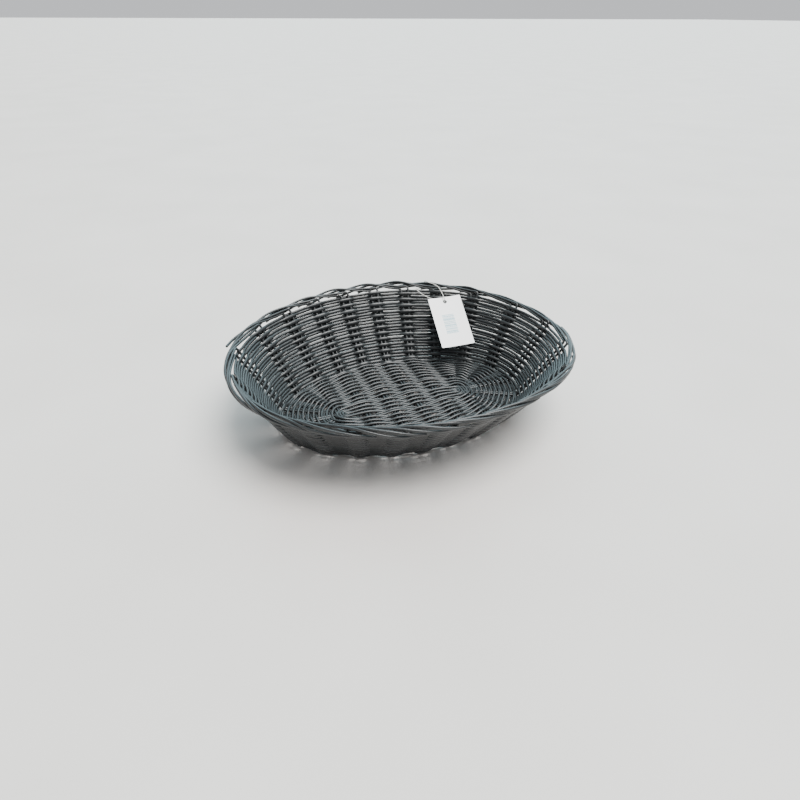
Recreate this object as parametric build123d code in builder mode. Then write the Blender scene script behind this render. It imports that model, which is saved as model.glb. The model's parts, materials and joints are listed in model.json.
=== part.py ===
from build123d import *
import math
import os

# Woven fruit basket: an oval bowl of round polypropylene strand, with a hanging price tag.
# Frame: +X along the basket's length, +Y across it, +Z up. The origin is on the table,
# under the middle of the base. All sizes are in millimetres.

# ---- driving dimensions ----
BASE_LENGTH, BASE_WIDTH = 220.0, 144.0      # outside of the weave where it meets the table
RIM_LENGTH, RIM_WIDTH = 293.0, 248.0        # middle line of the border
RIM_HEIGHT = 61.0                           # middle of the border, on average
RIM_SADDLE = 2.6                            # the long sides are this much higher, the ends lower
WALL_CURVE = 0.86                           # below 1 the wall bulges outwards a little
OVAL_JOIN = 56.0                            # degrees, where an end arc meets a side arc
STRAND = 2.3                                # diameter of every strand
TUNNEL_PLAY = 0.05                          # the weave's grip clears the stakes by this much
WEAVE = 6.4                                 # weaver, stake and weaver: the weave's thickness
WALL_HALF = 4.0                             # half the wall's thickness, measured level
WALL_TOP = 53.0                             # top of the last weaver round
ROUNDS_GAP = 0.1                            # between one length of weaver and the next

CROSS_PITCH = 24.0                          # cross stakes on the floor
CROSS_FLARE = 1.32                          # how much further apart they are at the rim
END_FLOOR_ANGLES = (-56.0, -28.0, 0.0, 28.0, 56.0)
END_RIM_ANGLES = (-46.0, -23.0, 0.0, 23.0, 46.0)
END_STARTS = (22.0, 15.0, 13.0, 15.0, 22.0)   # inner ends, from the centre of the end arc
PAIR_AT_FLOOR, PAIR_AT_KNEE, PAIR_AT_RIM = 1.4, 2.3, 3.5   # half spacing of a stake's strands
STAKE_Z = WEAVE / 2
KNEE_Z = 30.0                               # the stakes bend slightly here

FLOOR_LENGTHS, WALL_LENGTHS = 3, 5           # lengths of weaver strand
FLOOR_STEP = 24.0                           # width of one length's rounds on the floor

CARD_WIDTH, CARD_HEIGHT, CARD_THICK = 34.0, 54.0, 0.5
CARD_CORNER, CARD_HOLE, HOLE_BELOW_TOP = 1.5, 4.0, 5.0
CARD_MIDDLE = Vector(75.85, 62.5, 42.8)     # it leans on the inside of the back wall
CARD_ACROSS, CARD_FACE = Vector(0.998, -0.064, 0.020), Vector(-0.055, -0.615, 0.786)
STRING, KNOT = 0.8, 2.8                     # diameters
STRING_PLACE = 67.4                         # rim angle of the string's loop
LOOP_RADIUS, LOOP_SPREAD = 5.7, 4.5         # round the border, and half its spread along it
LOOP_ANGLES = (-112.5, -67.5, -22.5, 22.5, 67.5, 112.5)

RING = 3.25                                 # border strands lie on a ring of this radius
TURN_PER_STAKE = 96.0                       # degrees round that ring, from stake to stake
TRAILING_START, LEADING_START = 122.0, 170.0
TAIL_STEPS, STEP = 10, 0.25                 # a tail passes two and a half stakes, in quarters
BEND_SHARE = 0.45                           # how much of a string's run each of its bends takes
FOOT_BEND, KNEE_BEND, RIM_BEND, TAIL_BEND = 6.0, 60.0, 4.0, 40.0


# ---- ovals: two end arcs and two side arcs that meet at a fixed angle ----
def oval_arcs(a, b):
    """End centre and radius, then side centre and radius, of an oval with these half axes."""
    join = math.radians(OVAL_JOIN)
    end_centre = (a - b) / (1 - (1 - math.sin(join)) / math.cos(join))
    end_radius = a - end_centre
    side_radius = end_radius + end_centre / math.cos(join)
    return end_centre, end_radius, end_centre * math.tan(join), side_radius


def oval_line(a, b):
    """The oval as four tangent arcs, drawn into the BuildLine around the call."""
    end_centre, end_radius, side_centre, side_radius = oval_arcs(a, b)
    CenterArc((end_centre, 0), end_radius, -OVAL_JOIN, 2 * OVAL_JOIN)
    CenterArc((0, -side_centre), side_radius, OVAL_JOIN, 180 - 2 * OVAL_JOIN)
    CenterArc((-end_centre, 0), end_radius, 180 - OVAL_JOIN, 2 * OVAL_JOIN)
    CenterArc((0, side_centre), side_radius, 180 + OVAL_JOIN, 180 - 2 * OVAL_JOIN)


def oval_point(a, b, angle):
    """The point of the oval whose outward normal has this angle."""
    end_centre, end_radius, side_centre, side_radius = oval_arcs(a, b)
    angle = (angle + OVAL_JOIN) % 360 - OVAL_JOIN
    c, s = math.cos(math.radians(angle)), math.sin(math.radians(angle))
    if angle <= OVAL_JOIN:
        return Vector(end_centre + end_radius * c, end_radius * s)
    if angle < 180 - OVAL_JOIN:
        return Vector(side_radius * c, side_radius * s - side_centre)
    if angle <= 180 + OVAL_JOIN:
        return Vector(end_radius * c - end_centre, end_radius * s)
    return Vector(side_radius * c, side_radius * s + side_centre)


def wall_half_axes(z, inset=0.0):
    """Half axes of the wall's outside at this height, drawn in by the inset."""
    rise = (z / RIM_HEIGHT) ** WALL_CURVE
    a = BASE_LENGTH / 2 + (RIM_LENGTH - BASE_LENGTH) / 2 * rise
    b = BASE_WIDTH / 2 + (RIM_WIDTH - BASE_WIDTH) / 2 * rise
    return a - inset, b - inset


# ---- the stakes' places ----
def side_angle(x, a, b):
    """Normal angle, 0 to 180, of the long side's point with this x."""
    return math.degrees(math.acos(x / oval_arcs(a, b)[3]))


RIM_A, RIM_B = RIM_LENGTH / 2, RIM_WIDTH / 2
CROSS_X = [CROSS_PITCH * (n - 2.5) for n in range(6)]
BACK_ANGLES = [side_angle(x * CROSS_FLARE, RIM_A, RIM_B) for x in reversed(CROSS_X)]
FRONT_ANGLES = [360 - angle for angle in reversed(BACK_ANGLES)]
RIGHT_ANGLES = list(END_RIM_ANGLES)
LEFT_ANGLES = [180 + angle for angle in END_RIM_ANGLES]
STATIONS = RIGHT_ANGLES + BACK_ANGLES + LEFT_ANGLES + FRONT_ANGLES


def station_angle(position):
    """Rim angle at a stake number; fractions lie between two stakes."""
    def whole(n):
        return STATIONS[n % len(STATIONS)] + 360 * (n // len(STATIONS))

    low = math.floor(position)
    return whole(low) + (whole(low + 1) - whole(low)) * (position - low)


def outward(angle):
    return Vector(math.cos(math.radians(angle)), math.sin(math.radians(angle)))


def along(angle):
    return Vector(-math.sin(math.radians(angle)), math.cos(math.radians(angle)))


def border_point(angle, ring_angle, shift=0.0, radius=RING):
    """A point on a ring round the border's middle: ring angle 0 is outwards, 90 is up."""
    middle = oval_point(RIM_A, RIM_B, angle) + along(angle) * shift
    across = radius * math.cos(math.radians(ring_angle))
    z = RIM_HEIGHT - RIM_SADDLE * math.cos(math.radians(2 * angle))
    z += radius * math.sin(math.radians(ring_angle))
    return middle + outward(angle) * across + Vector(0, 0, z)


def tail_points(number, leading):
    """From the wall's top: the corner at the border, then a slow turn round its ring."""
    start = LEADING_START if leading else TRAILING_START
    shift = PAIR_AT_RIM if leading else -PAIR_AT_RIM
    stake_gap = (oval_point(RIM_A, RIM_B, station_angle(number + 1))
                 - oval_point(RIM_A, RIM_B, station_angle(number))).length
    corner_turn = TURN_PER_STAKE * shift / stake_gap
    points = [border_point(station_angle(number), start - corner_turn, shift)]
    for step in range(1, TAIL_STEPS + 1):
        ring_angle = start - TURN_PER_STAKE * STEP * step
        points.append(border_point(station_angle(number + STEP * step), ring_angle))
    return points


def knee_point(foot_angle, rim_angle, side):
    """Where a strand bends slightly, half way up the wall's middle surface."""
    angle = foot_angle + (rim_angle - foot_angle) * KNEE_Z / RIM_HEIGHT
    point = oval_point(*wall_half_axes(KNEE_Z, WALL_HALF), angle)
    return point + along(angle) * PAIR_AT_KNEE * side + Vector(0, 0, KNEE_Z)


TAIL_BENDS = [RIM_BEND] + [TAIL_BEND] * (TAIL_STEPS - 1)
WALL_BENDS = [FOOT_BEND, KNEE_BEND]


def end_route(number, floor_angle, start, side, turned):
    """One strand of an end stake: floor, foot, knee and tail. Turned ones are at the left end."""
    foot_a, foot_b = wall_half_axes(STAKE_Z, WALL_HALF)
    end_centre, end_radius = oval_arcs(foot_a, foot_b)[:2]
    angle = floor_angle + turned
    centre = outward(turned) * end_centre + Vector(0, 0, STAKE_Z)
    beside = along(angle) * PAIR_AT_FLOOR * side
    floor_end = centre + outward(angle) * start + beside
    foot = centre + outward(angle) * end_radius + beside
    wall = [foot, knee_point(angle, station_angle(number), side)]
    return [floor_end] + wall + tail_points(number, side > 0), WALL_BENDS + TAIL_BENDS


def cross_half(number, x, back):
    """Foot, knee and tail of a cross stake's strand at one long side, from the floor outwards."""
    foot_a, foot_b = wall_half_axes(STAKE_Z, WALL_HALF)
    middle_x = STAKE_X[number]
    leading = (x < middle_x) if back else (x > middle_x)
    angle = side_angle(x, foot_a, foot_b)
    y = oval_point(foot_a, foot_b, angle).Y
    sign = 1 if back else -1
    foot = Vector(x, sign * y, STAKE_Z)
    middle_angle = sign * side_angle(middle_x, foot_a, foot_b) % 360
    knee = knee_point(middle_angle, station_angle(number), 1 if leading else -1)
    return [foot, knee] + tail_points(number, leading)


END_COUNT, CROSS_COUNT = len(END_RIM_ANGLES), len(CROSS_X)
BACK_FIRST, LEFT_FIRST = END_COUNT, END_COUNT + CROSS_COUNT
FRONT_FIRST = LEFT_FIRST + END_COUNT
STAKE_X = {BACK_FIRST + n: CROSS_X[-1 - n] for n in range(CROSS_COUNT)}
STAKE_X.update({FRONT_FIRST + n: CROSS_X[n] for n in range(CROSS_COUNT)})


def cross_route(n, side):
    """One strand of cross stake n, from the front border over the floor to the back border."""
    x = CROSS_X[n] + PAIR_AT_FLOOR * side
    front = cross_half(FRONT_FIRST + n, x, back=False)
    back = cross_half(BACK_FIRST + CROSS_COUNT - 1 - n, x, back=True)
    bends = list(reversed(WALL_BENDS + TAIL_BENDS)) + WALL_BENDS + TAIL_BENDS
    return list(reversed(front)) + back, bends


def strand(route, bends, diameter):
    """A round strand along straight runs joined by tangent arcs."""
    with BuildPart() as rod:
        with BuildLine() as path:
            FilletPolyline(*route, radius=bends)
        with BuildSketch(Plane(origin=path.line @ 0, z_dir=path.line % 0)):
            Circle(diameter / 2)
        sweep()
    return rod.part


def without_tails(route, bends, ends):
    """The part of a route inside the weave, for its tunnel: the tails are left off."""
    first = TAIL_STEPS if ends == 2 else 0
    last = len(route) - TAIL_STEPS
    return route[first:last], bends[first:last - 2]


def save(piece, name):
    piece.part.label = name
    export_step(piece.part, f"parts/{name}.step")


os.makedirs("parts", exist_ok=True)
tunnels = []


def save_stake(name, routes, ends):
    """Writes a stake's two strands as one node, and keeps the tunnels that they run in."""
    with BuildPart() as stake:
        for route, bends in routes:
            add(strand(route, bends, STRAND))
    save(stake, name)
    for route, bends in routes:
        inner, inner_bends = without_tails(route, bends, ends)
        tunnels.append(strand(inner, inner_bends, STRAND + 2 * TUNNEL_PLAY))


for n in range(CROSS_COUNT):
    save_stake(f"cross_stake_{n + 1}", [cross_route(n, side) for side in (-1, 1)], ends=2)
for n in range(END_COUNT):
    floor_angle, start = END_FLOOR_ANGLES[n], END_STARTS[n]
    right = [end_route(n, floor_angle, start, side, 0) for side in (-1, 1)]
    left = [end_route(LEFT_FIRST + n, floor_angle, start, side, 180) for side in (-1, 1)]
    save_stake(f"right_end_stake_{n + 1}", right, ends=1)
    save_stake(f"left_end_stake_{n + 1}", left, ends=1)


# ---- the weave: lengths of weaver strand, woven round after round ----
def oval_face(z, a, b):
    with BuildSketch(Plane.XY.offset(z)) as face:
        with BuildLine():
            oval_line(a, b)
        make_face()
    return face.sketch


def weave_loft(bottom, top, half_axes, mode=Mode.ADD):
    """A straight-sided block between two ovals; half_axes gives their size at a level."""
    loft([oval_face(z, *half_axes(z)) for z in (bottom, top)], ruled=True, mode=mode)


def floor_half_axes(steps):
    """A zone of the floor keeps its shape at every level: this many steps in from the edge."""
    inset = FLOOR_STEP * steps
    return lambda z: (BASE_LENGTH / 2 - inset, BASE_WIDTH / 2 - inset)


for n in range(FLOOR_LENGTHS):
    steps = FLOOR_LENGTHS - 1 - n
    outside = floor_half_axes(steps) if steps else wall_half_axes
    with BuildPart() as floor_weave:
        weave_loft(0, WEAVE, outside)
        if n:
            hole = floor_half_axes(steps + 1 - ROUNDS_GAP / FLOOR_STEP)
            weave_loft(0, WEAVE, hole, Mode.SUBTRACT)
        add(tunnels, mode=Mode.SUBTRACT)
    save(floor_weave, f"floor_weave_{n + 1}")

length_height = (WALL_TOP - WEAVE) / WALL_LENGTHS
for n in range(WALL_LENGTHS):
    bottom = WEAVE + length_height * n + ROUNDS_GAP
    top = WEAVE + length_height * (n + 1)
    with BuildPart() as wall_weave:
        weave_loft(bottom, top, wall_half_axes)
        weave_loft(bottom, top, lambda z: wall_half_axes(z, 2 * WALL_HALF), Mode.SUBTRACT)
        add(tunnels, mode=Mode.SUBTRACT)
    save(wall_weave, f"wall_weave_{n + 1}")

# ---- the price tag: a card with a round hole ----
card_plane = Plane(origin=CARD_MIDDLE, x_dir=CARD_ACROSS, z_dir=CARD_FACE)
hole_height = CARD_HEIGHT / 2 - HOLE_BELOW_TOP
with BuildPart() as price_tag:
    with BuildSketch(card_plane):
        RectangleRounded(CARD_WIDTH, CARD_HEIGHT, CARD_CORNER)
        with Locations((0, hole_height)):
            Circle(CARD_HOLE / 2, mode=Mode.SUBTRACT)
    extrude(amount=CARD_THICK / 2, both=True)
save(price_tag, "price_tag")


# ---- the string: from its knot round the border, over the top, and through the card ----
def by_card(up, out):
    """A point above the card's hole, and out from the card's face."""
    return card_plane.from_local_coords(Vector(0, hole_height + up, out))


def by_loop(ring_angle):
    """A corner of the loop round the border, which also moves along the border as it turns."""
    shift = -LOOP_SPREAD * ring_angle / LOOP_ANGLES[-1]
    return border_point(STRING_PLACE, ring_angle, shift, LOOP_RADIUS)


knot_middle = by_card(up=3.5, out=-3.0)
string_route = [knot_middle, by_card(up=7.5, out=-4.5) + Vector(-9, 0, 0), Vector(61.5, 100, 56.4)]
string_route += [by_loop(ring_angle) for ring_angle in LOOP_ANGLES]
string_route += [Vector(76.3, 95.5, 64.4), by_card(up=7, out=2.2)]
string_route += [by_card(up=0, out=1.7), by_card(up=0, out=-1.7), knot_middle + Vector(0.6, 0, 0)]


def largest_bends(route):
    """For each corner, the largest radius that its two runs allow."""
    bends = []
    for before, corner, after in zip(route, route[1:], route[2:]):
        shorter = min((corner - before).length, (after - corner).length)
        half_turn = math.radians((corner - before).get_angle(after - corner)) / 2
        bends.append(BEND_SHARE * shorter / math.tan(half_turn))
    return bends


string_bends = largest_bends(string_route)
print("string bends", [round(bend, 1) for bend in string_bends])
with BuildPart() as tag_string:
    with BuildLine() as string_path:
        FilletPolyline(*string_route, radius=string_bends)
    with BuildSketch(Plane(origin=string_path.line @ 0, z_dir=string_path.line % 0)):
        Circle(STRING / 2)
    sweep()
string_length = sum(edge.length for edge in string_path.line.edges())
section = math.pi * (STRING / 2) ** 2
print("string length", round(string_length, 1), "volume ratio",
      round(tag_string.part.volume / (section * string_length), 4))
save(tag_string, "tag_string")

with BuildPart(Plane(origin=knot_middle)) as string_knot:
    Sphere(KNOT / 2)
save(string_knot, "string_knot")
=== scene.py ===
"""Woven fruit basket: the looks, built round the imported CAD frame. Lengths are in metres."""
import json
import math

import bpy
import numpy as np
from mathutils import Matrix, Vector


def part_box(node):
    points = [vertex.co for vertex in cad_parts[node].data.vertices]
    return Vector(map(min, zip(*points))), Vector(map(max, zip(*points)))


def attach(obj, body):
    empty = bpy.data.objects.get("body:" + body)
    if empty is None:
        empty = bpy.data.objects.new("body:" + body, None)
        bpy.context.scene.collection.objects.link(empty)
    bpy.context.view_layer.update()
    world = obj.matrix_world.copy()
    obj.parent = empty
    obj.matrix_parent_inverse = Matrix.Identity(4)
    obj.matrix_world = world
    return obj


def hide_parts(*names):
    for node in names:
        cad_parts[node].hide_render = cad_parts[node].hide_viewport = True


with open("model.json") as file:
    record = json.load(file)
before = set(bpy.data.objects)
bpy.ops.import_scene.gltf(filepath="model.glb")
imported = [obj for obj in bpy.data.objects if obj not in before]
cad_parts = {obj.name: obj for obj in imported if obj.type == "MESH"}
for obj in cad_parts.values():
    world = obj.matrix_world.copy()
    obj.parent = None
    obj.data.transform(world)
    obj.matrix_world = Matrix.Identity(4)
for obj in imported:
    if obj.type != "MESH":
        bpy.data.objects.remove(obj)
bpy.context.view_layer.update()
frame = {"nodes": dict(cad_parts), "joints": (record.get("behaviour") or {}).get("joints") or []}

MM = 0.001
dice = np.random.default_rng(11)

# ---- sizes that the looks share with the frame ----
STRAND = 2.3 * MM                       # a stake strand's diameter
WALL_HALF = 4.0 * MM                    # from the wall's outside to its middle, measured level
BASE_A, BASE_B = 110 * MM, 72 * MM      # half axes of the outside at the table
RIM_RING = 3.25 * MM                    # the frame's border strands lie round such a ring
RIM_SADDLE = 2.6 * MM                   # the border is this much higher at the long sides
STAKE_Z, KNEE_Z = 3.2 * MM, 30 * MM     # heights of the stakes on the floor and halfway up the wall
END_FLOOR_ANGLES = (-56.0, -28.0, 0.0, 28.0, 56.0)   # the end stakes' directions in degrees
END_RIM_ANGLES = (-46.0, -23.0, 0.0, 23.0, 46.0)     # and the wall's where they reach the rim
END_STARTS = (22.0, 15.0, 13.0, 15.0, 22.0)          # they start so many mm from their centre
CROSS_X = [24 * MM * (n - 2.5) for n in range(6)]
CROSS_FLARE = 1.32                      # the cross stakes are this much further apart at the rim
PAIR_AT_FLOOR, PAIR_AT_KNEE, PAIR_AT_RIM = 1.4 * MM, 2.3 * MM, 3.5 * MM   # half a pair's spacing
TURN_PER_STAKE, TRAILING_START, LEADING_START = 96.0, 122.0, 170.0        # degrees round the border
STEP = 0.25                             # a tail's points are a quarter of a stake's gap apart
TRAILING_STEPS, LEADING_STEPS = 9, 10
LEFT_FIRST, BACK_LAST, FRONT_FIRST = 11, 10, 16   # numbers of the left, back and front stakes

# ---- how the border's strands really lie ----
BORDER_RING, BACK_RING = 1.95 * MM, 3.6 * MM   # tighter than the frame's ring, but not at the back
BORDER_STRAND = 2.15 * MM               # pulled strands are a little thinner
BORDER_THINS_OVER = 3 * MM              # they get thinner over this height above the weave
STAKE_STEP = 1.5 * MM                   # from point to point of a stake's strand
UNLIKE_ANY_RUN = (0.3, 0.2, 0.9)        # a direction that no strand starts out along
JOINING = 1.35                          # a strand passes so many gaps before it is in the border
JOINING_POWER = 1.2                     # above 1, it stays by the weave's top a little longer
TOP_GAP = 1.0 * MM                      # from the top round to the first bent strand
TOP_SPREAD = 0.5 * MM                   # the bent strands lie further out than the weave's middle
LOOSE_TAILS = {12: 0.4, 13: 0.9, 14: 1.5, 15: 1.7, 16: 1.3, 17: 0.6}   # looser at the front left
STRAY_ENDS = {9: 9.5 * MM, 21: 6.5 * MM}             # and these stakes' cut ends stick out so far
ARCH_AT, ARCH_SPAN, ARCH_HIGH = 6.6, 1.7, 1.6 * MM   # past stake 6 at the back it stands higher
LAY_TURN, LAY_SHAKE = 7, 3              # degrees that strands and their points stray round the border
LAY_WIDTH, LAY_LIFT, LAY_SLACK = 0.07, 0.03, 0.1     # and shares of the ring's radius
FOOT_BEND, TOP_BEND = 6 * MM, 5 * MM    # a strand bends over this much on both sides of a corner

# ---- the weave ----
WEAVER_THICK, WEAVER_HIGH = 2.15 * MM, 2.35 * MM
SWAY = 1.8 * MM                         # how far a weaver's middle leaves the weave's middle
FLOOR_SWAY = 1.7 * MM
SWAY_CHANGES = 0.05                     # the sway changes by such a share along a round
ROUND_DRIFT, RING_DRIFT = 0.12 * MM, 0.2 * MM   # how far a round or a ring wanders from its place
LEVELLING = 0.35                        # a wall weaver sways a little more level than square to the wall
PACKING = 1.0                           # wall weavers touch each other
TOP_FLARE, FLARE_FROM = 1.6 * MM, 40 * MM   # the weave's middle moves out by this, from this height
WALL_REACH = 7.5 * MM                   # a wall weaver bends only this near to a stake's strands
FLATTENED = 0.33                        # and it is pressed wider against them by this share
FLOOR_GROUPS, WALL_GROUPS = (8, 8, 9), (5, 5, 5, 5, 5)   # rings and rounds in each length of weaver
FLOOR_CENTRE = 53.5 * MM                # centres of the floor's round ends
FLOOR_FIRST_END, FLOOR_END_STEP = 1.0 * MM, 2.28 * MM
FLOOR_FIRST_SIDE, FLOOR_SIDE_STEP = 1.45 * MM, 2.93 * MM
RING_STEP = 1.6 * MM                    # from point to point of a floor ring
END_POINTS, SIDE_POINTS = 60, 400       # of a quarter of a floor ring, before it has even steps
NEAR_SPINE = 2 * MM                     # a cross stake this near to a ring's tip is left alone
WALL_LOW, WALL_HIGH, WALL_SADDLE = 2.1 * MM, 58.5 * MM, 1.8 * MM   # its top edge dips less than the rim
SAMPLES = 18                            # points of a round between two stakes
SIDES = 10                              # corners of a strand's section


# ---- ovals: two end arcs and two side arcs ----
def oval(centre, end, half_width, angle):
    """Points of an oval, from its end centres, end radius and half width, at normal angles."""
    join = math.pi / 2 - 2 * np.arctan2(half_width - end, centre)
    folded = np.arctan2(np.abs(np.sin(angle)), np.abs(np.cos(angle)))
    side = end + centre / np.cos(join)
    at_end = folded <= join
    x = np.where(at_end, centre + end * np.cos(folded), side * np.cos(folded))
    y = np.where(at_end, end * np.sin(folded), side * np.sin(folded) - centre * np.tan(join))
    return np.stack([np.copysign(x, np.cos(angle)), np.copysign(y, np.sin(angle))], -1)


JOIN_SHARE = 1 - math.tan(math.radians((90 - 56) / 2))   # wall ovals join their arcs at 56 degrees


def oval_of(a, b, angle):
    """Points of a wall oval with these half axes, at normal angles in radians."""
    centre = (a - b) / JOIN_SHARE
    return oval(centre, a - centre, b, angle)


def side_angle(x, a, b):
    """Normal angle of the back side's point with this x, on a wall oval."""
    centre = (a - b) / JOIN_SHARE
    end = a - centre
    join = math.pi / 2 - 2 * math.atan2(b - end, centre)
    return math.acos(x / (end + centre / math.cos(join)))


# ---- where the frame puts the wall and the border ----
stake_boxes = [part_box(name) for name in frame["nodes"] if "stake" in name]
border_half = RIM_RING + STRAND / 2
RIM_A = max(box[1].x for box in stake_boxes) - border_half
RIM_B = max(box[1].y for box in stake_boxes) - border_half
RIM_Z = max(box[1].z for box in stake_boxes) - border_half - RIM_SADDLE
wall_tops = [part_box("floor_weave_3")[1]]
wall_tops += [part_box(f"wall_weave_{n + 1}")[1] for n in range(len(WALL_GROUPS))]
LEVELS = [0.0] + [top.z for top in wall_tops] + [RIM_Z]
LEVEL_A = [BASE_A] + [top.x for top in wall_tops] + [RIM_A]
LEVEL_B = [BASE_B] + [top.y for top in wall_tops] + [RIM_B]


def eased(share):
    """A share from 0 to 1, starting and stopping gently."""
    share = np.clip(share, 0, 1)
    return share * share * (3 - 2 * share)


def wall_point(z, angle):
    """Points on the middle of the weave, which comes nearer to the border at its top."""
    inset = WALL_HALF - TOP_FLARE * eased((z - FLARE_FROM) / (WALL_HIGH - FLARE_FROM))
    a = np.interp(z, LEVELS, LEVEL_A) - inset
    b = np.interp(z, LEVELS, LEVEL_B) - inset
    return np.concatenate([oval_of(a, b, angle), np.asarray(z)[..., None]], -1)


def weave_top(angle):
    """Height of the weave's upper edge, higher at the long sides."""
    return WALL_HIGH - WALL_SADDLE * np.cos(2 * np.asarray(angle))


# ---- the 22 stakes, counted round the rim from the right end ----
foot_a = np.interp(STAKE_Z, LEVELS, LEVEL_A) - WALL_HALF
foot_b = np.interp(STAKE_Z, LEVELS, LEVEL_B) - WALL_HALF
end_rim = np.radians(END_RIM_ANGLES)
end_foot = np.radians(END_FLOOR_ANGLES)
back_rim = np.array([side_angle(x * CROSS_FLARE, RIM_A, RIM_B) for x in reversed(CROSS_X)])
back_foot = np.array([side_angle(x, foot_a, foot_b) for x in reversed(CROSS_X)])
RIM_ANGLES = np.concatenate([end_rim, back_rim, math.pi + end_rim, math.pi + back_rim])
FOOT_ANGLES = np.concatenate([end_foot, back_foot, math.pi + end_foot, math.pi + back_foot])
STAKES = len(RIM_ANGLES)


def stake_angle(position, z):
    """Normal angle at a place between two stakes, at a height on the wall."""
    def round_the_rim(angles):
        turned = np.concatenate([angles - 2 * math.pi, angles, angles + 2 * math.pi])
        return np.interp(position, np.arange(-STAKES, 2 * STAKES), turned)

    up = np.clip(z / RIM_Z, 0, 1)
    return round_the_rim(FOOT_ANGLES) * (1 - up) + round_the_rim(RIM_ANGLES) * up


# ---- tubes ----
def unit(vectors):
    """The same directions, with length one."""
    return vectors / np.linalg.norm(vectors, axis=-1, keepdims=True)


def slopes(points, closed):
    """The direction along a line of points."""
    if closed:
        return unit(np.roll(points, -1, 0) - np.roll(points, 1, 0))
    return unit(np.gradient(points, axis=0))


def even_steps(points, step, closed):
    """The same line with points a fixed step apart, their places along it, and its length."""
    line = np.concatenate([points, points[:1]]) if closed else points
    place = np.concatenate([[0], np.cumsum(np.linalg.norm(np.diff(line, axis=0), axis=1))])
    count = max(4, round(place[-1] / step))
    at = np.linspace(0, place[-1], count + (0 if closed else 1), endpoint=not closed)
    return np.stack([np.interp(at, place, line[:, k]) for k in range(3)], 1), at, place[-1]


def tube(points, out, closed, half_out, half_side, tone):
    """A strand's surface: its points, faces, lengthwise UVs and shade."""
    count = len(points)
    run = slopes(points, closed)
    out = unit(out - (out * run).sum(-1, keepdims=True) * run)
    side = np.cross(run, out)
    turn = np.arange(SIDES) * 2 * math.pi / SIDES
    half_out = np.broadcast_to(half_out, (count,))[:, None, None]
    half_side = np.broadcast_to(half_side, (count,))[:, None, None]
    rings = (points[:, None] + out[:, None] * np.cos(turn)[None, :, None] * half_out
             + side[:, None] * np.sin(turn)[None, :, None] * half_side)
    steps = np.linalg.norm(np.diff(points, axis=0), axis=1)
    length = np.concatenate([[0], np.cumsum(steps)])
    rows = count if closed else count - 1
    i, j = np.meshgrid(np.arange(rows), np.arange(SIDES), indexing="ij")
    i2, j2 = (i + 1) % count, (j + 1) % SIDES
    quads = np.stack([i * SIDES + j, i2 * SIDES + j, i2 * SIDES + j2, i * SIDES + j2], -1)
    far = np.where(i2 > i, length[i2], length[-1] + steps.mean())
    u = np.stack([length[i], far, far, length[i]], -1)
    v = np.stack([j, j, j + 1, j + 1], -1) / SIDES
    return {"points": rings.reshape(-1, 3), "quads": quads.reshape(-1, 4),
            "uv": np.stack([u, v], -1).reshape(-1, 2), "closed": closed, "tone": tone}


def added(name, data):
    """A new object, put into the scene."""
    item = bpy.data.objects.new(name, data)
    bpy.context.collection.objects.link(item)
    return item


def strand_piece(name, tubes, material):
    """One mesh object from several strands, with cut ends closed."""
    points, faces, uvs, tones = [], [], [], []
    start = 0
    for strand in tubes:
        points.append(strand["points"])
        faces += (strand["quads"] + start).tolist()
        uvs.append(strand["uv"])
        if not strand["closed"]:
            last = start + len(strand["points"]) - SIDES
            faces += [list(range(start + SIDES - 1, start - 1, -1)), list(range(last, last + SIDES))]
            uvs.append(np.zeros((2 * SIDES, 2)))
        tones.append(np.full(len(strand["points"]), strand["tone"]))
        start += len(strand["points"])
    mesh = bpy.data.meshes.new(name)
    mesh.from_pydata(np.concatenate(points).tolist(), [], faces)
    mesh.uv_layers.new(name="Strand").data.foreach_set("uv", np.concatenate(uvs).ravel())
    mesh.attributes.new("tone", "FLOAT", "POINT").data.foreach_set("value", np.concatenate(tones))
    sizes = np.array([len(face) for face in faces])
    mesh.polygons.foreach_set("use_smooth", sizes == 4)
    mesh.materials.append(material)
    return added(name, mesh)


def smooth_noise(count, waves):
    """A gentle random wave along a closed strand, mostly between -1 and 1."""
    turn = np.arange(count) / count * 2 * math.pi
    total = np.zeros(count)
    for wave in range(1, waves + 1):
        height = dice.normal()
        total += height * np.sin(wave * turn + dice.uniform(0, 2 * math.pi))
    return total / math.sqrt(waves)


def weave_wave(place, crossings, signs, half_width, reach):
    """1 where a weaver is in front of a stake, -1 behind it, and 0 midway between two stakes.

    place and crossings are lengths along the ring; the first crossing comes again at the end.
    """
    left = np.clip(np.searchsorted(crossings, place, side="right") - 1, 0, len(crossings) - 2)
    start, end = crossings[left], crossings[left + 1]
    middle = (end - start) / 2
    near_start = place - start < middle
    away = np.where(near_start, place - start, end - place)
    sign = np.where(near_start, signs[left], signs[left + 1])
    bend = np.minimum(reach, middle - half_width)
    share = (away - half_width) / np.maximum(bend, 1e-6)
    return sign * (1 - eased(share))


# ---- materials ----
def nodes_of(name):
    """A new material, its node tree and its shader."""
    material = bpy.data.materials.new(name)
    material.use_nodes = True
    tree = material.node_tree
    return material, tree, tree.nodes["Principled BSDF"]


def ramp(tree, source, stops):
    """Colours from a value, by stops of a position and a colour."""
    node = tree.nodes.new("ShaderNodeValToRGB")
    node.color_ramp.elements[0].position = stops[0][0]
    node.color_ramp.elements[0].color = (*stops[0][1], 1)
    node.color_ramp.elements[1].position = stops[-1][0]
    node.color_ramp.elements[1].color = (*stops[-1][1], 1)
    for position, colour in stops[1:-1]:
        node.color_ramp.elements.new(position).color = (*colour, 1)
    tree.links.new(source, node.inputs["Fac"])
    return node.outputs["Color"]


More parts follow.
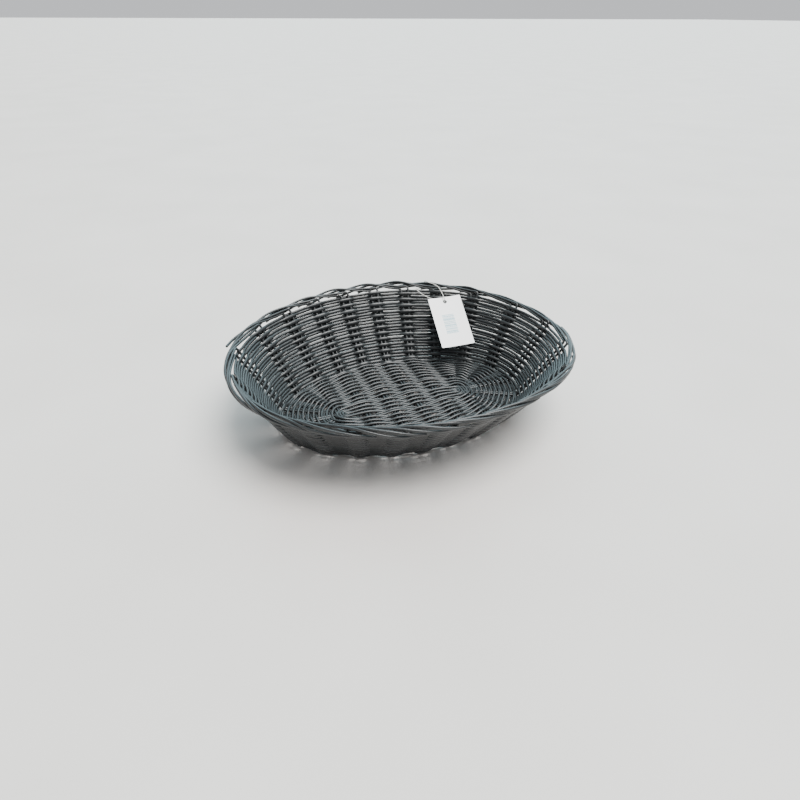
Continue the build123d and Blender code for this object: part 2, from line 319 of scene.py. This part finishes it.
def noise(tree, vector, scale, detail=2.0):
    """Cloudy noise over the places that a vector gives."""
    node = tree.nodes.new("ShaderNodeTexNoise")
    node.inputs["Scale"].default_value = scale
    node.inputs["Detail"].default_value = detail
    tree.links.new(vector, node.inputs["Vector"])
    return node.outputs["Fac"]


def raised(tree, shader, height, strength, distance):
    """Small bumps on the surface, where a height is high."""
    bump = tree.nodes.new("ShaderNodeBump")
    bump.inputs["Strength"].default_value = strength
    bump.inputs["Distance"].default_value = distance
    tree.links.new(height, bump.inputs["Height"])
    tree.links.new(bump.outputs["Normal"], shader.inputs["Normal"])


def mapped(tree, value, low, high):
    """A value from 0 to 1, brought between two others."""
    node = tree.nodes.new("ShaderNodeMapRange")
    node.inputs["To Min"].default_value = low
    node.inputs["To Max"].default_value = high
    tree.links.new(value, node.inputs["Value"])
    return node.outputs["Result"]


def strand_material():
    """Black extruded polypropylene: fine lengthwise streaks, a soft gloss and dusty patches."""
    material, tree, shader = nodes_of("black strand")
    uv = tree.nodes.new("ShaderNodeUVMap")
    uv.uv_map = "Strand"
    stretch = tree.nodes.new("ShaderNodeMapping")
    stretch.inputs["Scale"].default_value = (25, 7, 1)
    tree.links.new(uv.outputs["UV"], stretch.inputs["Vector"])
    streaks = noise(tree, stretch.outputs["Vector"], scale=1.0, detail=4.0)
    place = tree.nodes.new("ShaderNodeTexCoord")
    dust = noise(tree, place.outputs["Object"], scale=55.0, detail=5.0)
    tone = tree.nodes.new("ShaderNodeAttribute")
    tone.attribute_name = "tone"
    mix = tree.nodes.new("ShaderNodeMath")
    mix.operation = "MULTIPLY_ADD"
    mix.inputs[1].default_value = 0.45
    tree.links.new(streaks, mix.inputs[0])
    tree.links.new(tone.outputs["Fac"], mix.inputs[2])
    stops = [(0.1, (0.008, 0.009, 0.0095)), (0.45, (0.0145, 0.0165, 0.0175)),
             (0.8, (0.029, 0.034, 0.036))]
    tree.links.new(ramp(tree, mix.outputs["Value"], stops), shader.inputs["Base Color"])
    tree.links.new(mapped(tree, dust, 0.26, 0.46), shader.inputs["Roughness"])
    raised(tree, shader, streaks, strength=0.2, distance=0.12 * MM)
    shader.inputs["IOR"].default_value = 1.49
    return material


BLACK = strand_material()


def basket_piece(name, tubes, *nodes):
    """A piece of black strand that stands for CAD nodes of the basket."""
    piece = strand_piece(name, tubes, BLACK)
    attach(piece, "basket")
    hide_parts(*nodes)


MEAN_SHADE, SHADE_SPREAD, DARKEST, LIGHTEST = 0.22, 0.07, 0.05, 0.45


def shade():
    """How light or dark one strand is."""
    return float(np.clip(dice.normal(MEAN_SHADE, SHADE_SPREAD), DARKEST, LIGHTEST))


# ---- the camera ----
CAMERA_DISTANCE, CAMERA_TURN, CAMERA_HEIGHT = 0.545, math.radians(21.98), math.radians(33.27)
CAMERA_LENS, CAMERA_FILM = 27.0, 36.0   # in millimetres
CAMERA_ROLL, CAMERA_TILT, CAMERA_PAN = (math.radians(v) for v in (-0.52, -0.44, -0.27))


def make_camera():
    """The camera, aimed a little past the basket's middle and tilted as the photograph is."""
    data = bpy.data.cameras.new("camera")
    data.lens, data.sensor_width = CAMERA_LENS, CAMERA_FILM
    camera = added("camera", data)
    forward = Vector((0, math.cos(CAMERA_HEIGHT), -math.sin(CAMERA_HEIGHT)))
    up = Vector((0, math.sin(CAMERA_HEIGHT), math.cos(CAMERA_HEIGHT)))
    level = Matrix((Vector((1, 0, 0)), up, -forward)).transposed()
    aim = (Matrix.Rotation(CAMERA_ROLL, 3, "Z") @ Matrix.Rotation(CAMERA_TILT, 3, "X")
           @ Matrix.Rotation(CAMERA_PAN, 3, "Y"))
    turn = Matrix.Rotation(-CAMERA_TURN, 3, "Z")
    camera.matrix_world = (turn @ level @ aim.transposed()).to_4x4()
    camera.location = turn @ (-forward * CAMERA_DISTANCE)
    bpy.context.scene.camera = camera


make_camera()

# ---- the tag's places, from its joints ----
joints = {joint["name"]: joint for joint in frame["joints"]}
card_hole = Vector(joints["tag_turn"]["pos_m"])
card_face = Vector(joints["tag_turn"]["axis"]).normalized()
card_across = Vector((0.998, -0.064, 0.020))   # as in the photograph, then made square to the face
card_across = (card_across - card_across.dot(card_face) * card_face).normalized()
card_up = card_face.cross(card_across)
loop_middle = Vector(joints["string_swing"]["pos_m"])
loop_along = Vector(joints["string_swing"]["axis"]).normalized()
loop_out = Vector((loop_along.y, -loop_along.x, 0))
LOOP_ANGLES = (-112.5, -67.5, -22.5, 22.5, 67.5, 112.5)
LOOP_RADIUS = 5.5 * MM                  # a little tighter than the frame's
LOOP_SPREAD, LOWER_SPREAD = 4.5 * MM, 8.5 * MM
WEAVE_CLEARANCE = 3.4 * MM              # its start is this much higher, clear of the top round
STRING = 0.8 * MM


def by_card(up, out):
    """A point above the card's hole, and out from the card's face."""
    return card_hole + card_up * up * MM + card_face * out * MM


def by_loop(ring_angle):
    """A corner of the string's loop round the border."""
    turn = math.radians(ring_angle)
    spread = LOOP_SPREAD if ring_angle > 0 else LOWER_SPREAD
    shift = -spread * ring_angle / LOOP_ANGLES[-1]
    ring = loop_out * math.cos(turn) + Vector((0, 0, 1)) * math.sin(turn)
    lift = WEAVE_CLEARANCE if ring_angle == LOOP_ANGLES[0] else 0.0
    return loop_middle + loop_along * shift + ring * LOOP_RADIUS + Vector((0, 0, lift))


knot_middle = by_card(up=3.5, out=-3.0)
string_route = [knot_middle, Vector((0.0665, 0.0870, 0.0572)), Vector((0.0580, 0.0950, 0.0608))]
string_route += [by_loop(ring_angle) for ring_angle in LOOP_ANGLES]
string_route += [Vector((0.0730, 0.1000, 0.0682)), Vector((0.0753, 0.0920, 0.0670))]
string_route += [Vector((0.0758, 0.0850, 0.0632)), by_card(up=0, out=1.7)]
string_route += [by_card(up=0, out=-1.7), knot_middle + Vector((0.0006, 0, 0))]


# ---- the card ----
CARD_WIDTH, CARD_HEIGHT, CARD_THICK, CARD_CORNER = 34 * MM, 54 * MM, 0.35 * MM, 0.6 * MM
HOLE_BELOW_TOP, HOLE_RADIUS = 5 * MM, 2.0 * MM
CARD_CURL = 0.9 * MM                    # the long edges stand this much further out than the middle
CARD_STEP, CARD_RINGS, CORNER_POINTS = 0.7 * MM, 14, 5
RINGS_CROWD = 1.5                       # above 1, the rings of faces crowd round the hole
PRINT_ACROSS, PRINT_UP = (0.28, 0.64), (0.26, 0.64)   # the printed block, as shares of the card
PRINT_COLOUR = (0.20, 0.45, 0.54)


def card_material():
    """Coated card with a pale block of meaningless stripes."""
    material, tree, shader = nodes_of("price card")
    uv = tree.nodes.new("ShaderNodeUVMap")
    uv.uv_map = "Card"
    split = tree.nodes.new("ShaderNodeSeparateXYZ")
    tree.links.new(uv.outputs["UV"], split.inputs["Vector"])

    def between(value, low, high):
        node = tree.nodes.new("ShaderNodeMath")
        node.operation = "COMPARE"
        tree.links.new(value, node.inputs[0])
        node.inputs[1].default_value = (low + high) / 2
        node.inputs[2].default_value = (high - low) / 2
        return node.outputs["Value"]

    def times(first, second):
        node = tree.nodes.new("ShaderNodeMath")
        node.operation = "MULTIPLY"
        tree.links.new(first, node.inputs[0])
        tree.links.new(second, node.inputs[1])
        return node.outputs["Value"]

    stripes = tree.nodes.new("ShaderNodeTexNoise")
    stripes.noise_dimensions = "1D"
    stripes.inputs["Scale"].default_value = 70.0
    stripes.inputs["Detail"].default_value = 1.0
    tree.links.new(split.outputs["Y"], stripes.inputs["W"])
    bars = tree.nodes.new("ShaderNodeMath")
    bars.operation = "GREATER_THAN"
    bars.inputs[1].default_value = 0.5
    tree.links.new(stripes.outputs["Fac"], bars.inputs[0])
    block = times(between(split.outputs["X"], *PRINT_ACROSS), between(split.outputs["Y"], *PRINT_UP))
    printed = times(block, bars.outputs["Value"])
    fibres = noise(tree, uv.outputs["UV"], scale=90.0, detail=6.0)
    stock = ramp(tree, fibres, [(0.3, (0.95, 0.96, 0.96)), (0.7, (0.99, 0.99, 0.99))])
    mix = tree.nodes.new("ShaderNodeMix")
    mix.data_type = "RGBA"
    tree.links.new(printed, mix.inputs["Factor"])
    tree.links.new(stock, mix.inputs["A"])
    mix.inputs["B"].default_value = (*PRINT_COLOUR, 1)
    tree.links.new(mix.outputs["Result"], shader.inputs["Base Color"])
    raised(tree, shader, fibres, strength=0.15, distance=0.05 * MM)
    shader.inputs["Roughness"].default_value = 0.5
    return material


def card_outline():
    """The card's edge with its rounded corners, as points round the card's middle."""
    outline = []
    for quarter, (side_x, side_y) in enumerate([(1, 1), (-1, 1), (-1, -1), (1, -1)]):
        for turn in np.linspace(0, math.pi / 2, CORNER_POINTS) + quarter * math.pi / 2:
            x = side_x * (CARD_WIDTH / 2 - CARD_CORNER) + CARD_CORNER * math.cos(turn)
            y = side_y * (CARD_HEIGHT / 2 - CARD_CORNER) + CARD_CORNER * math.sin(turn)
            outline.append((x, y, 0.0))
    return even_steps(np.array(outline), CARD_STEP, closed=True)[0][:, :2]


def make_card():
    """A slightly curled card: rings of faces from its round hole out to its edge."""
    hole = np.array([0.0, CARD_HEIGHT / 2 - HOLE_BELOW_TOP])
    edge = card_outline()
    rim = hole + unit(edge - hole) * HOLE_RADIUS
    shares = np.linspace(0, 1, CARD_RINGS) ** RINGS_CROWD
    flat = np.concatenate([rim * (1 - share) + edge * share for share in shares])
    curl = CARD_CURL * (flat[:, 0] / CARD_WIDTH * 2) ** 2 - CARD_CURL / 3
    across, up, face = (np.array(v) for v in (card_across, card_up, card_face))
    middle = np.array(card_hole) - up * hole[1]
    points = middle + flat[:, :1] * across + flat[:, 1:] * up + curl[:, None] * face
    count, faces = len(edge), []
    for ring in range(CARD_RINGS - 1):
        for n in range(count):
            after = (n + 1) % count
            inner, outer = ring * count, (ring + 1) * count
            faces.append([inner + n, outer + n, outer + after, inner + after])
    mesh = bpy.data.meshes.new("card")
    mesh.from_pydata(points.tolist(), [], faces)
    corner_points = flat[np.array(faces).ravel()]
    uvs = corner_points / np.array([CARD_WIDTH, CARD_HEIGHT]) + 0.5
    mesh.uv_layers.new(name="Card").data.foreach_set("uv", uvs.ravel())
    mesh.materials.append(card_material())
    card = added("card", mesh)
    solid = card.modifiers.new("thickness", "SOLIDIFY")
    solid.thickness, solid.offset = CARD_THICK, 0.0
    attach(card, "tag")
    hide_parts("price_tag")
    return card


def thread_material():
    """Pale twisted thread: two plies seen as slanting bands, with painted shade darkening the grooves
    between them where the bump is low.
    """
    material, tree, shader = nodes_of("pale thread")
    place = tree.nodes.new("ShaderNodeTexCoord")
    plies_and_groove_shade = tree.nodes.new("ShaderNodeTexWave")
    plies_and_groove_shade.bands_direction = "DIAGONAL"
    plies_and_groove_shade.inputs["Scale"].default_value = 700.0
    plies_and_groove_shade.inputs["Distortion"].default_value = 1.5
    tree.links.new(place.outputs["Object"], plies_and_groove_shade.inputs["Vector"])
    # painted shade: the dark stop colours the grooves between the plies, where the bump is low
    stops = [(0.2, (0.42, 0.41, 0.38)), (0.8, (0.80, 0.79, 0.75))]
    tree.links.new(ramp(tree, plies_and_groove_shade.outputs["Fac"], stops), shader.inputs["Base Color"])
    raised(tree, shader, plies_and_groove_shade.outputs["Fac"], strength=0.6, distance=0.1 * MM)
    shader.inputs["Roughness"].default_value = 0.75
    return material


THREAD = thread_material()


def make_string():
    """The string's loop, from the knot round the border, over it, and through the card."""
    data = bpy.data.curves.new("string", "CURVE")
    data.dimensions = "3D"
    data.bevel_depth = STRING / 2
    data.bevel_resolution = 3
    data.resolution_u = 12
    data.use_fill_caps = True
    spline = data.splines.new("NURBS")
    spline.points.add(len(string_route) - 1)
    for point, place in zip(spline.points, string_route):
        point.co = (*place, 1)
    spline.order_u = 3
    spline.use_endpoint_u = True
    data.materials.append(THREAD)
    string = added("string", data)
    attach(string, "tag_loop")
    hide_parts("tag_string")
    return string


KNOT_TURNS, KNOT_DEPTH = 0.27 * MM, 0.6 * MM   # sizes of the trefoil across and through the knot


def make_knot():
    """A small overhand knot: a trefoil of the same thread, pulled tight."""
    turn = np.linspace(0, 2 * math.pi, 60, endpoint=False)
    middle = np.array(knot_middle)
    across, up, face = (np.array(v) for v in (card_across, card_up, card_face))
    x = np.sin(turn) + 2 * np.sin(2 * turn)
    y = np.cos(turn) - 2 * np.cos(2 * turn)
    z = -np.sin(3 * turn)
    points = middle + KNOT_TURNS * (x[:, None] * across + y[:, None] * up)
    points = points + KNOT_DEPTH * z[:, None] * face
    turns = tube(points, points - middle, True, STRING / 2, STRING / 2, 0.0)
    knot = strand_piece("knot", [turns], THREAD)
    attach(knot, "tag_loop")
    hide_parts("string_knot")
    return knot


string = make_string()
knot = make_knot()
card = make_card()


# ---- the wall: rounds of weaver, in five lengths of strand ----
def wall_round(number, count):
    """One round of weaver: it passes in front of every other stake and behind the rest."""
    position = np.arange(STAKES * SAMPLES) / SAMPLES
    spacing = (weave_top(stake_angle(position, RIM_Z)) - WALL_LOW) / count
    z = WALL_LOW + spacing * (number + 0.5)
    z = z + ROUND_DRIFT * smooth_noise(len(z), 9)
    angle = stake_angle(position, z)
    points = wall_point(z, angle)
    slope = np.linalg.norm(wall_point(z + spacing, angle) - points, axis=1)
    climb = unit(wall_point(z + MM, angle) - wall_point(z - MM, angle))
    out = unit(np.cross(slopes(points, True), climb))
    out = unit(out * np.array([1, 1, 1 - LEVELLING]))
    place = np.concatenate([[0], np.cumsum(np.linalg.norm(np.diff(points, axis=0), axis=1))])
    crossings = np.append(place[::SAMPLES], place[-1] + place[1])
    signs = np.array([(-1.0) ** (stake + number) for stake in range(STAKES + 1)])
    pair = PAIR_AT_FLOOR + (PAIR_AT_RIM - PAIR_AT_FLOOR) * (number + 0.5) / count
    wave = weave_wave(place, crossings, signs, pair, WALL_REACH)
    reach = SWAY * (1 + SWAY_CHANGES * smooth_noise(len(z), 7))
    points = points + out * (wave * reach)[:, None]
    pressed = 1 + FLATTENED * eased(2 * np.abs(wave) - 1)
    return tube(points, out, True, WEAVER_THICK / 2, slope * PACKING / 2 * pressed, shade())


def make_wall():
    """All rounds of the wall, from the bottom up, with one piece for each length of weaver."""
    count, number = sum(WALL_GROUPS), 0
    for group, size in enumerate(WALL_GROUPS):
        rounds = [wall_round(number + n, count) for n in range(size)]
        number += size
        basket_piece(f"wall_rounds_{group + 1}", rounds, f"wall_weave_{group + 1}")


# ---- the floor: rings round a straight spine ----
def floor_ring(number):
    """One ring of weaver on the floor, from the spine outwards."""
    end = FLOOR_FIRST_END + FLOOR_END_STEP * number
    side = FLOOR_FIRST_SIDE + FLOOR_SIDE_STEP * number
    join = math.pi / 2 - 2 * math.atan2(side - end, FLOOR_CENTRE)
    round_part = np.linspace(0, join, END_POINTS)
    quarter = np.concatenate([round_part, np.linspace(join, math.pi / 2, SIDE_POINTS)[1:]])
    angle = np.concatenate([quarter, math.pi - quarter[-2::-1]])
    angle = np.concatenate([angle, angle[1:-1] + math.pi])
    flat = oval(FLOOR_CENTRE, end, side, angle)
    line = np.column_stack([flat, np.full(len(flat), STAKE_Z)])
    points, place, total = even_steps(line, RING_STEP, closed=True)
    crossings, signs = ring_crossings(number, end, line, total)
    wave = weave_wave(place, crossings, signs, PAIR_AT_FLOOR, total)
    run = slopes(points, True)
    up = np.tile([0.0, 0.0, 1.0], (len(points), 1))
    drift = RING_DRIFT * smooth_noise(len(points), 7)
    reach = FLOOR_SWAY * (1 + SWAY_CHANGES * smooth_noise(len(points), 5))
    points = points + up * (wave * reach)[:, None] + np.cross(run, up) * drift[:, None]
    return tube(points, up, True, WEAVER_THICK / 2, WEAVER_HIGH / 2, shade())


def ring_crossings(number, end, line, total):
    """Where a floor ring meets the stakes, and on which side of each it passes."""
    around = np.concatenate([line, line[:1]])
    place = np.concatenate([[0], np.cumsum(np.linalg.norm(np.diff(around, axis=0), axis=1))])
    found = []
    for n, x in enumerate(CROSS_X):
        if abs(x) < FLOOR_CENTRE + end - NEAR_SPINE:
            for back in (True, False):
                half = np.where((line[:, 1] > 0) == back)[0]
                nearest = half[np.argmin(np.abs(line[half, 0] - x))]
                found.append((place[nearest], n % 2))
    full = end > END_STARTS[0] * MM
    for turned in (0, 1):
        for n, floor_angle in enumerate(END_FLOOR_ANGLES):
            if full:
                turn = math.radians(floor_angle) + math.pi * turned
                centre = np.array([math.copysign(FLOOR_CENTRE, math.cos(math.pi * turned)), 0])
                spoke = centre + end * np.array([math.cos(turn), math.sin(turn)])
                nearest = np.argmin(np.linalg.norm(line[:, :2] - spoke, axis=1))
                found.append((place[nearest], (n + turned) % 2))
    found.sort()
    parity = [item[1] for item in found]
    if not full:
        parity = list(range(len(found)))
    crossings = np.array([item[0] for item in found])
    signs = np.array([(-1.0) ** (p + number) for p in parity])
    crossings = np.concatenate([[crossings[-1] - total], crossings, [crossings[0] + total]])
    signs = np.concatenate([[signs[-1]], signs, [signs[0]]])
    return crossings, signs


def make_floor():
    """All rings of the floor, from the spine outwards, with one piece for each length of weaver."""
    number = 0
    for group, size in enumerate(FLOOR_GROUPS):
        rings = [floor_ring(number + n) for n in range(size)]
        number += size
        basket_piece(f"floor_rings_{group + 1}", rings, f"floor_weave_{group + 1}")


# ---- the stakes and the border that their ends make ----
def outward(angle):
    """Level and square to the rim."""
    return np.array([math.cos(angle), math.sin(angle), 0.0])


def along(angle):
    """Level and along the rim."""
    return np.array([-math.sin(angle), math.cos(angle), 0.0])


def border_point(angle, ring_angle, radius):
    """A point on a ring round the border's middle: ring angle 0 is outwards, 90 is up."""
    middle = np.append(oval_of(RIM_A, RIM_B, angle), RIM_Z - RIM_SADDLE * math.cos(2 * angle))
    turn = math.radians(ring_angle)
    return middle + (outward(angle) * math.cos(turn) + np.array([0, 0, math.sin(turn)])) * radius


def tail_points(number, leading):
    """Points of a strand that leaves the weave, leans over its top, and rises into the border."""
    start = LEADING_START if leading else TRAILING_START
    stray = STRAY_ENDS.get(number, 0.0) if leading else 0.0
    steps = LEADING_STEPS if leading else TRAILING_STEPS
    steps += 1 if stray else 0
    lift = TOP_GAP + (0 if leading else STRAND)
    loose = LOOSE_TAILS.get(number, 0.0) + abs(dice.normal(0, LAY_SLACK))
    early = dice.normal(0, LAY_TURN)
    wide = 1 + dice.normal(0, LAY_WIDTH)
    points = []
    for step in range(steps + 1):
        passed = STEP * step
        angle = float(stake_angle(number + passed, RIM_Z))
        share = step / steps
        ring = BORDER_RING + (BACK_RING - BORDER_RING) * max(0.0, math.sin(angle))
        radius = ring * wide * (1 + loose * eased(share) + dice.normal(0, LAY_LIFT))
        ring_angle = start + early - TURN_PER_STAKE * passed + dice.normal(0, LAY_SHAKE)
        on_border = border_point(angle, ring_angle, radius)
        on_border[2] += ARCH_HIGH * eased(1 - abs(number + passed - ARCH_AT) / ARCH_SPAN)
        on_border += outward(angle) * stray * eased(3 * share - 2)
        on_wall = wall_point(weave_top(angle) + lift, angle) + outward(angle) * TOP_SPREAD
        if step == 0:
            on_wall = on_wall + along(angle) * PAIR_AT_RIM * (1 if leading else -1)
        joined = eased(min(1.0, passed / JOINING)) ** JOINING_POWER
        points.append(on_wall * (1 - joined) + on_border * joined)
    return points


def wall_line(number, side, foot, leading):
    """Points of a strand from its foot up the wall, and over into the border."""
    knee_angle = float(stake_angle(number, KNEE_Z))
    knee = wall_point(np.array(KNEE_Z), knee_angle) + along(knee_angle) * PAIR_AT_KNEE * side
    tail = tail_points(number, leading)
    climb, rise, bend = unit(knee - foot), unit(tail[0] - knee), unit(tail[1] - tail[0])
    return [foot + climb * FOOT_BEND, (foot + knee) / 2, knee, (knee + tail[0]) / 2,
            tail[0] - rise * TOP_BEND, tail[0], tail[0] + bend * TOP_BEND] + tail[1:]


def soft_corners(points, rounds=3):
    """Cuts the corners off a line of points again and again, until it is smooth."""
    points = np.array(points)
    for _ in range(rounds):
        before, after = points[:-1], points[1:]
        cut = np.stack([0.75 * before + 0.25 * after, 0.25 * before + 0.75 * after], 1)
        points = np.concatenate([points[:1], cut.reshape(-1, 3), points[-1:]])
    return points


def round_strand(points):
    """A round strand along a smooth line."""
    line = even_steps(soft_corners(points), STAKE_STEP, closed=False)[0]
    run = slopes(line, False)
    out = [np.cross(run[0], UNLIKE_ANY_RUN)]
    for direction in run[1:]:
        out.append(unit(out[-1] - out[-1].dot(direction) * direction))
    in_border = np.clip((line[:, 2] - WALL_HIGH) / BORDER_THINS_OVER, 0, 1)
    radius = (STRAND + (BORDER_STRAND - STRAND) * in_border) / 2
    return tube(line, np.array(out), False, radius, radius, shade())


def make_end_stakes():
    """Pairs of strands that spread out from the floor's ends and climb the end walls."""
    centre_x = (foot_a - foot_b) / JOIN_SHARE
    end_radius = foot_a - centre_x
    for turned, end_name, first in ((0.0, "right", 0), (math.pi, "left", LEFT_FIRST)):
        for n, floor_angle in enumerate(np.radians(END_FLOOR_ANGLES)):
            strands = []
            for side in (-1, 1):
                angle = floor_angle + turned
                centre = outward(turned) * centre_x + np.array([0, 0, STAKE_Z])
                beside = along(angle) * PAIR_AT_FLOOR * side
                inner = centre + outward(angle) * END_STARTS[n] * MM + beside
                foot = centre + outward(angle) * end_radius + beside
                before_foot = foot - outward(angle) * FOOT_BEND
                up = wall_line(first + n, side, foot, side > 0)
                strands.append(round_strand([inner, before_foot, foot] + up))
            name = f"{end_name}_end_stake_{n + 1}"
            basket_piece(f"{name}_strands", strands, name)


def make_cross_stakes():
    """Pairs of strands that cross the floor and climb both long walls."""
    for n, middle_x in enumerate(CROSS_X):
        strands = []
        for side in (-1, 1):
            x = middle_x + PAIR_AT_FLOOR * side
            angle = side_angle(x, foot_a, foot_b)
            y = float(oval_of(foot_a, foot_b, angle)[1])
            halves = []
            for back, number in ((False, FRONT_FIRST + n), (True, BACK_LAST - n)):
                sign = 1 if back else -1
                foot = np.array([x, sign * y, STAKE_Z])
                leading = (side < 0) if back else (side > 0)
                up = wall_line(number, 1 if leading else -1, foot, leading)
                halves.append([foot - np.array([0, sign * FOOT_BEND, 0]), foot] + up)
            strands.append(round_strand(halves[0][::-1] + halves[1]))
        basket_piece(f"cross_stake_{n + 1}_strands", strands, f"cross_stake_{n + 1}")


make_wall()
make_floor()
make_end_stakes()
make_cross_stakes()


# ---- the studio ----
def floor_material():
    """A plain pale floor, very faintly mottled."""
    material, tree, shader = nodes_of("pale floor")
    place = tree.nodes.new("ShaderNodeTexCoord")
    mottling = noise(tree, place.outputs["Object"], scale=6.0)
    stops = [(0.3, (0.55, 0.525, 0.50)), (0.7, (0.59, 0.565, 0.54))]
    tree.links.new(ramp(tree, mottling, stops), shader.inputs["Base Color"])
    shader.inputs["Roughness"].default_value = 0.6
    return material


KEY_PLACE, KEY_POWER, KEY_SPREAD = (0.5, -0.1, 1.3), 7.6, math.radians(45)
WINDOW_PLACE, WINDOW_POWER, WINDOW_SPREAD = (0.2, 1.5, 1.0), 2.8, math.radians(70)
KEY_COLOUR, WINDOW_COLOUR = (1.0, 0.99, 0.97), (0.58, 0.90, 1.0)
SKY_COLOUR, SKY_STRENGTH = (0.95, 0.97, 1.0), 0.75
FLOOR_REACH = 40.0


def make_light(name, place, power, spread, colour):
    """A soft sun, shining from a place to the basket's right, behind it and above it."""
    data = bpy.data.lights.new(name, "SUN")
    data.energy, data.angle, data.color = power, spread, colour
    light = added(name, data)
    light.location = Matrix.Rotation(-CAMERA_TURN, 3, "Z") @ Vector(place)
    light.rotation_euler = (-light.location).to_track_quat("-Z", "Y").to_euler()


def make_studio():
    """A pale floor, a soft light from above and a wide cool one from behind, and a pale sky."""
    mesh = bpy.data.meshes.new("floor")
    corners = [(-1, -1), (1, -1), (1, 1), (-1, 1)]
    mesh.from_pydata([(x * FLOOR_REACH, y * FLOOR_REACH, 0) for x, y in corners], [], [[0, 1, 2, 3]])
    mesh.materials.append(floor_material())
    floor = added("floor", mesh)
    make_light("key", KEY_PLACE, KEY_POWER, KEY_SPREAD, KEY_COLOUR)
    make_light("window", WINDOW_PLACE, WINDOW_POWER, WINDOW_SPREAD, WINDOW_COLOUR)
    world = bpy.data.worlds.new("studio")
    bpy.context.scene.world = world
    world.use_nodes = True
    sky = world.node_tree.nodes["Background"]
    sky.inputs["Color"].default_value = (*SKY_COLOUR, 1)
    sky.inputs["Strength"].default_value = SKY_STRENGTH


make_studio()
